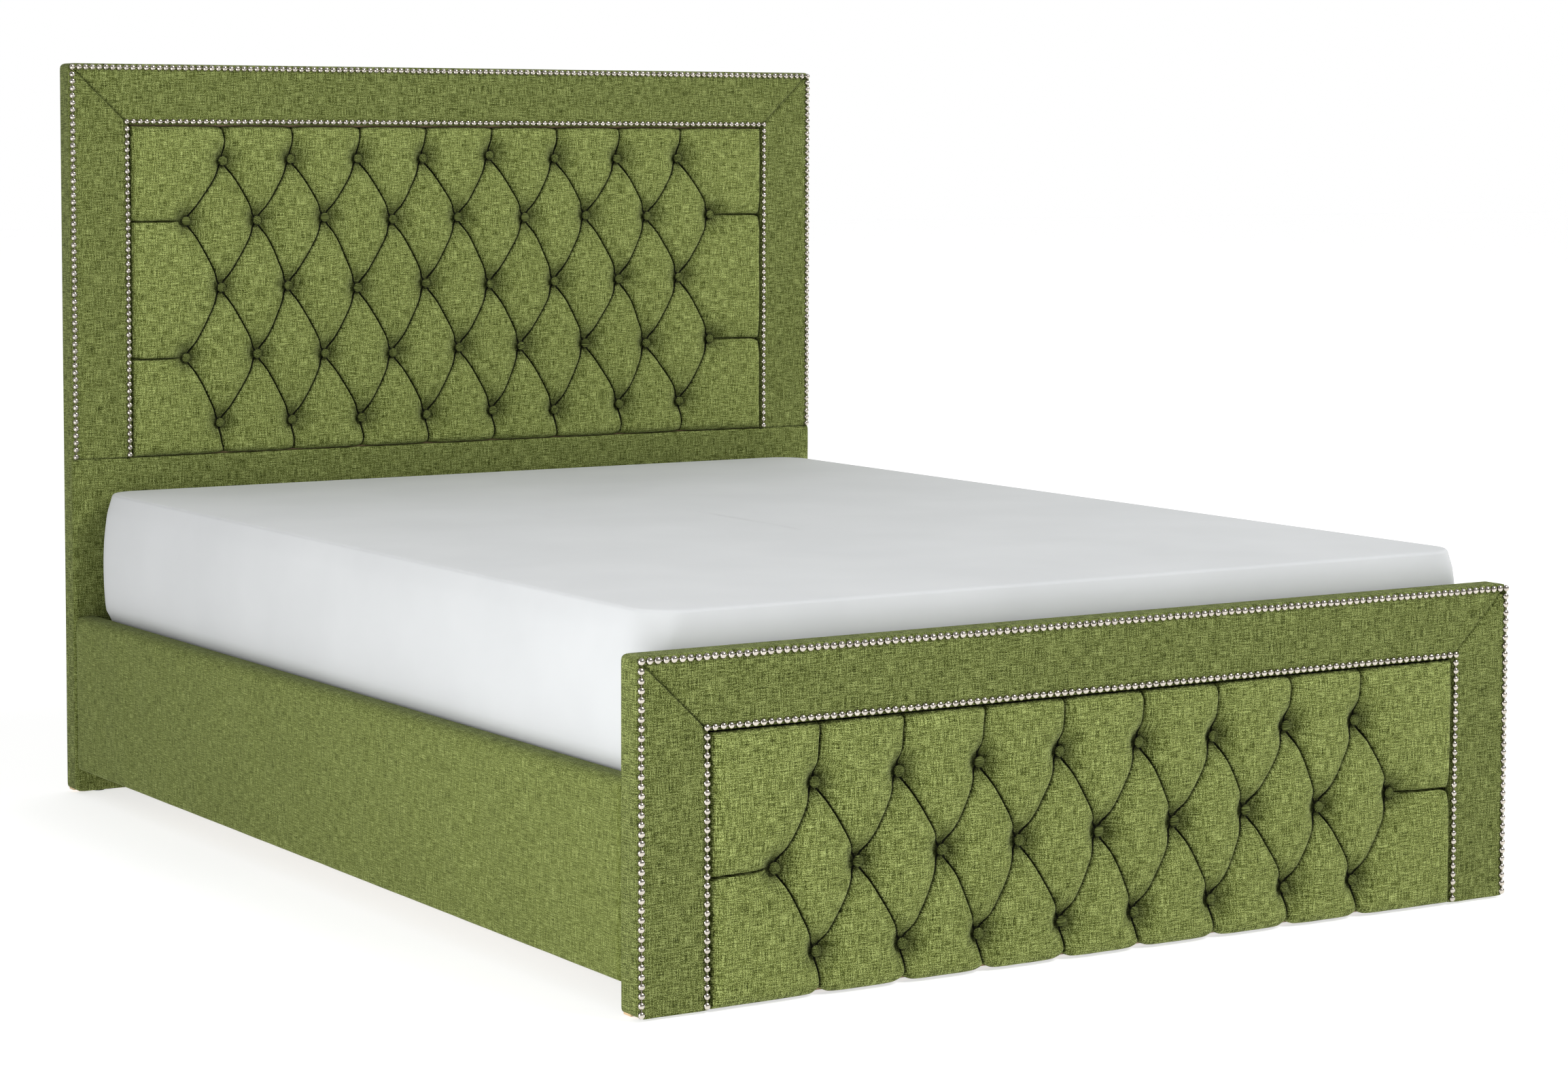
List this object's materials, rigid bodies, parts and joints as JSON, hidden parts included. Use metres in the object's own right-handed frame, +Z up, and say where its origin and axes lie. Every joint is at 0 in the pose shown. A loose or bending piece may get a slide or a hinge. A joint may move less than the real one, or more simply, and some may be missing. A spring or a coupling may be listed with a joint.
{
  "type": "upholstered headboard bed",
  "caption": "Double bed with button-tufted, nail-trimmed headboard and footboard, padded side rails, sprung slats, centre legs and a mattress in a white fitted cover.",
  "frame": {"origin": "on the floor, below the centre of the bed's bounding box", "axes": "+Z up, +Y towards the headboard, +X to the right when looking from the foot to the head"},
  "size_m": [1.6, 2.116, 1.341],
  "materials": {
    "green_cloth": "matte",
    "button_cloth": "matte",
    "nickel": "polished",
    "timber": "matte",
    "plywood": "matte",
    "slat_birch": "satin",
    "black_steel": "satin",
    "zinc_steel": "satin",
    "black_plastic": "matte",
    "mattress_foam": "matte",
    "white_cotton": "matte"
  },
  "bodies": {
    "bed_frame": {"headboard_post_left": "timber", "headboard_post_right": "timber", "headboard_top_rail": "timber", "headboard_middle_rail": "timber", "headboard_bottom_rail": "timber", "headboard_front_board": "plywood", "headboard_border_top": "green_cloth", "headboard_border_left": "green_cloth", "headboard_border_right": "green_cloth", "headboard_tufted_pad": "green_cloth", "headboard_lower_pad": "green_cloth", "headboard_buttons": "button_cloth", "headboard_outer_nail_trim": "nickel", "headboard_inner_nail_trim": "nickel", "headboard_back_cover": "green_cloth", "headboard_glides": "black_plastic", "footboard_post_left": "timber", "footboard_post_right": "timber", "footboard_top_rail": "timber", "footboard_bottom_rail": "timber", "footboard_front_board": "plywood", "footboard_border_top": "green_cloth", "footboard_border_left": "green_cloth", "footboard_border_right": "green_cloth", "footboard_tufted_pad": "green_cloth", "footboard_buttons": "button_cloth", "footboard_outer_nail_trim": "nickel", "footboard_inner_nail_trim": "nickel", "footboard_back_cover": "green_cloth", "footboard_glides": "black_plastic", "side_rail_left_board": "timber", "side_rail_left_cover": "green_cloth", "ledger_left": "timber", "slats_left": "slat_birch", "corner_bracket_head_left": "black_steel", "corner_bracket_foot_left": "black_steel", "side_rail_right_board": "timber", "side_rail_right_cover": "green_cloth", "ledger_right": "timber", "slats_right": "slat_birch", "corner_bracket_head_right": "black_steel", "corner_bracket_foot_right": "black_steel", "beam_hanger_head": "black_steel", "beam_hanger_foot": "black_steel", "frame_bolts": "zinc_steel", "frame_screws": "zinc_steel", "centre_beam": "timber", "centre_leg_foot": "timber", "centre_leg_middle": "timber", "centre_leg_head": "timber", "leg_bolts": "zinc_steel", "leg_inserts": "zinc_steel", "slat_holders_side": "black_plastic", "slat_holders_centre": "black_plastic"},
    "mattress": {"mattress_core": "mattress_foam", "mattress_cover": "white_cotton"},
    "levelling_foot_foot": {"levelling_foot_foot": "zinc_steel"},
    "levelling_foot_middle": {"levelling_foot_middle": "zinc_steel"},
    "levelling_foot_head": {"levelling_foot_head": "zinc_steel"}
  },
  "joints": [
    {"name": "mattress_lift", "type": "slide", "parent": "bed_frame", "child": "mattress", "axis": [0, 0, 1], "range_m": [0, 0.3]},
    {"name": "levelling_foot_foot_screw", "type": "slide", "parent": "bed_frame", "child": "levelling_foot_foot", "axis": [0, 0, 1], "range_m": [-0.01, 0.012]},
    {"name": "levelling_foot_middle_screw", "type": "slide", "parent": "bed_frame", "child": "levelling_foot_middle", "axis": [0, 0, 1], "range_m": [-0.01, 0.012]},
    {"name": "levelling_foot_head_screw", "type": "slide", "parent": "bed_frame", "child": "levelling_foot_head", "axis": [0, 0, 1], "range_m": [-0.01, 0.012]}
  ]
}
